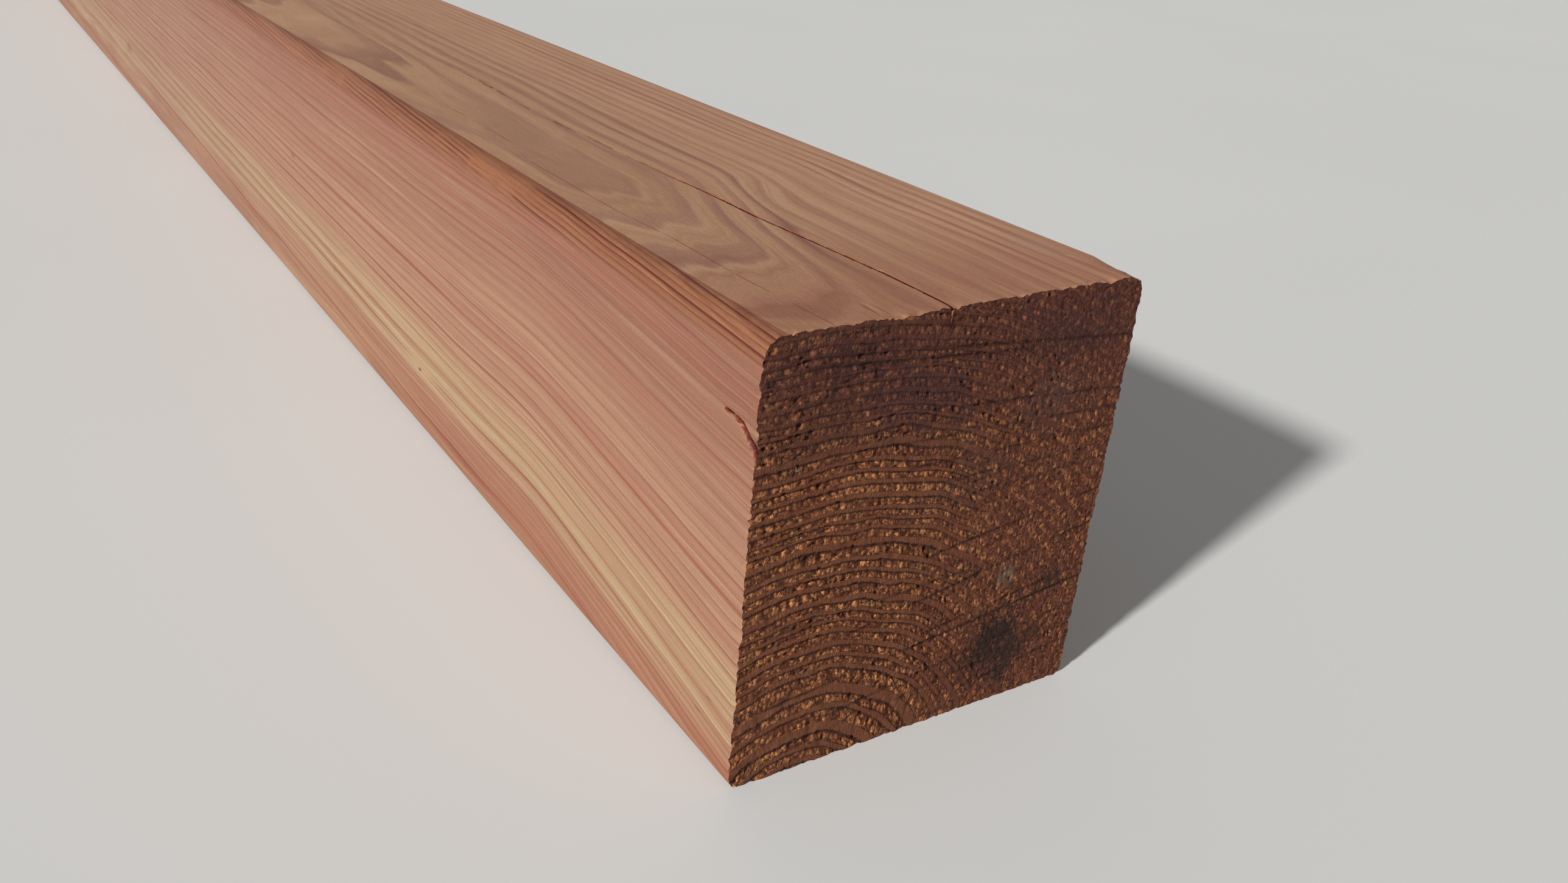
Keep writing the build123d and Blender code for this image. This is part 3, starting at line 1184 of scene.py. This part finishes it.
def sawn_end():
    """The rough near end: torn earlywood flakes, smoother latewood, saw marks, stains and dirt, with
    painted shade in its flake gaps, pits, saw grooves and cracks and under its latewood strips.
    """
    shader = Shader("sawn_softwood")
    end = EndGrain(shader)
    blotch = shader.streaks(end.place, 7, 7, 4.0, 0.6)
    speckle = shader.streaks(end.place, 1.6, 1.6, 3.0, 0.6)
    broken = speckle * 1.8 + (blotch * 1.6 - 1.7)
    inwards = end.y - LEFT_Y
    colour = end_wood(shader, end, blotch)
    colour = shader.paint_spots(colour, inwards, end.z, 1.0, END_STAINS, broken)
    # Cracks painted near-black as the shade inside them
    colour = shader.paint_spots(colour, inwards, end.z, 1.0, END_CRACK_SHADOWS)
    # Painted shade in the saw grooves
    colour = shader.paint(colour, (shader.attribute("saw_mark") * 0.85, SAW_GROOVE_SHADE))
    torn = (end.calm * -0.5 + 1.0) * (end.late * -1.0 + 1.0)
    relief = end.flake * torn * -0.34 + end.comb * end.late * 0.16 + end.grit * 0.3
    return shader.finish(relief, Base_Color=colour, Roughness=0.8, Specular_IOR_Level=0.22)


def far_end():
    """The square-cut far end: plain cut rings with light saw lines."""
    shader = Shader("cut_softwood")
    grain = Grain(shader)
    late = grain.share.rise(0.3, 0.92) * grain.share.rise(1.0, 0.95) * (grain.luck * 0.4 + 0.5)
    grit = shader.streaks(grain.place, 0.7, 0.7, 3.0, 0.6)
    colour = shader.paint(shader.between(grit, CUT_WOOD), (late, CUT_LATE))
    scratch = shader.noise(shader.scaled(grain.place, (1.0, 0.03, 1.4)), 3.0)
    relief = scratch * 0.25 + grit * 0.1
    return shader.finish(relief, Base_Color=colour, Roughness=0.75, Specular_IOR_Level=0.25)


def add_object(name, data):
    """A new object in the scene."""
    thing = bpy.data.objects.new(name, data)
    bpy.context.scene.collection.objects.link(thing)
    return thing


def make_timber():
    """The whole timber as one closed mesh, in place of the plain solid."""
    points, triangles, regions = refine(*coarse_sides())
    for end in (NEAR_END, FAR_END):
        points, triangles, regions = close_end(points, triangles, regions, end)
    moved, attributes = shape_timber(points)
    mesh = bpy.data.meshes.new("timber_wood")
    mesh.from_pydata((moved * MM).tolist(), [], triangles.tolist())
    for name, values in attributes.items():
        layer = mesh.attributes.new(name, "FLOAT", "POINT")
        layer.data.foreach_set("value", values.astype(np.float32))
    uv = mesh.uv_layers.new(name="OFBake")
    uv.data.foreach_set("uv", unwrap(points, triangles, regions).ravel().astype(np.float32))
    for material in (planed_wood(), sawn_end(), far_end()):
        mesh.materials.append(material)
    slots = np.select([regions == NEAR_END, regions == FAR_END], [1, 2], 0).astype(np.int32)
    mesh.polygons.foreach_set("material_index", slots)
    mesh.polygons.foreach_set("use_smooth", np.ones(len(triangles), bool))
    mesh.set_sharp_from_angle(angle=math.radians(50))
    mesh.update()
    timber = add_object("timber_wood", mesh)
    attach(timber, "root")
    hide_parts("squared_timber")


# The view of the photograph
CAMERA_PLACE = (1078.42, -156.14, 178.29)
CAMERA_HEADING = 146.93
CAMERA_PITCH = -24.80
CAMERA_ROLL = 3.20
CAMERA_LENS = 30.546
SENSOR_WIDTH = 36.0

# Light: one strong soft lamp from the left, and a pale room
KEY_HEADING = -71.2
KEY_ELEVATION = 28.2
KEY_SIZE = 4.0
KEY_STRENGTH = 3.8
KEY_COLOUR = (1.0, 0.985, 0.965)
ROOM_STRENGTH = 0.24
ROOM_COLOUR = (1.0, 0.985, 0.975, 1.0)
FLOOR_TINTS = ((216, 217, 216), (224, 225, 224))
FLOOR_REACH = 12.0


def direction(heading, elevation):
    """A unit vector from its heading round from +x and its elevation, in degrees."""
    turn = math.radians(heading)
    rise = math.radians(elevation)
    flat = math.cos(rise)
    return Vector((flat * math.cos(turn), flat * math.sin(turn), math.sin(rise)))


def make_camera():
    data = bpy.data.cameras.new("camera")
    data.lens = CAMERA_LENS
    data.sensor_width = SENSOR_WIDTH
    camera = add_object("camera", data)
    forward = direction(CAMERA_HEADING, CAMERA_PITCH)
    aim = forward.to_track_quat("-Z", "Y").to_matrix().to_4x4()
    roll = Matrix.Rotation(math.radians(CAMERA_ROLL), 4, "Z")
    camera.matrix_world = Matrix.Translation(Vector(CAMERA_PLACE) * MM) @ aim @ roll
    bpy.context.scene.camera = camera


def make_floor():
    data = bpy.data.meshes.new("studio_floor")
    signs = ((-1, -1), (1, -1), (1, 1), (-1, 1))
    corners = [(x * FLOOR_REACH, y * FLOOR_REACH, 0) for x, y in signs]
    data.from_pydata(corners, [], [(0, 1, 2, 3)])
    floor = add_object("studio_floor", data)
    shader = Shader("pale_floor")
    place = shader.add("ShaderNodeTexCoord", output="Object")
    colour = shader.between(shader.noise(place, scale=2.0), FLOOR_TINTS)
    data.materials.append(shader.finish(None, Base_Color=colour, Roughness=0.9, Specular_IOR_Level=0.2))
    floor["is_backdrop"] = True


def make_lights():
    lamp = bpy.data.lights.new("key_lamp", "SUN")
    lamp.energy = KEY_STRENGTH
    lamp.angle = math.radians(KEY_SIZE)
    lamp.color = KEY_COLOUR
    key = add_object("key_lamp", lamp)
    key.matrix_world = direction(KEY_HEADING, KEY_ELEVATION).to_track_quat("Z", "Y").to_matrix().to_4x4()
    world = bpy.data.worlds.new("pale_room")
    world.use_nodes = True
    background = world.node_tree.nodes["Background"]
    background.inputs["Color"].default_value = ROOM_COLOUR
    background.inputs["Strength"].default_value = ROOM_STRENGTH
    bpy.context.scene.world = world
    bpy.context.scene.view_settings.view_transform = "Standard"


make_camera()
make_lights()
make_floor()
make_timber()

visual_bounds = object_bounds()
boxes = {"cad": cad_bounds, "visual": visual_bounds}
{name: [list(corner) for corner in box] for name, box in boxes.items()}
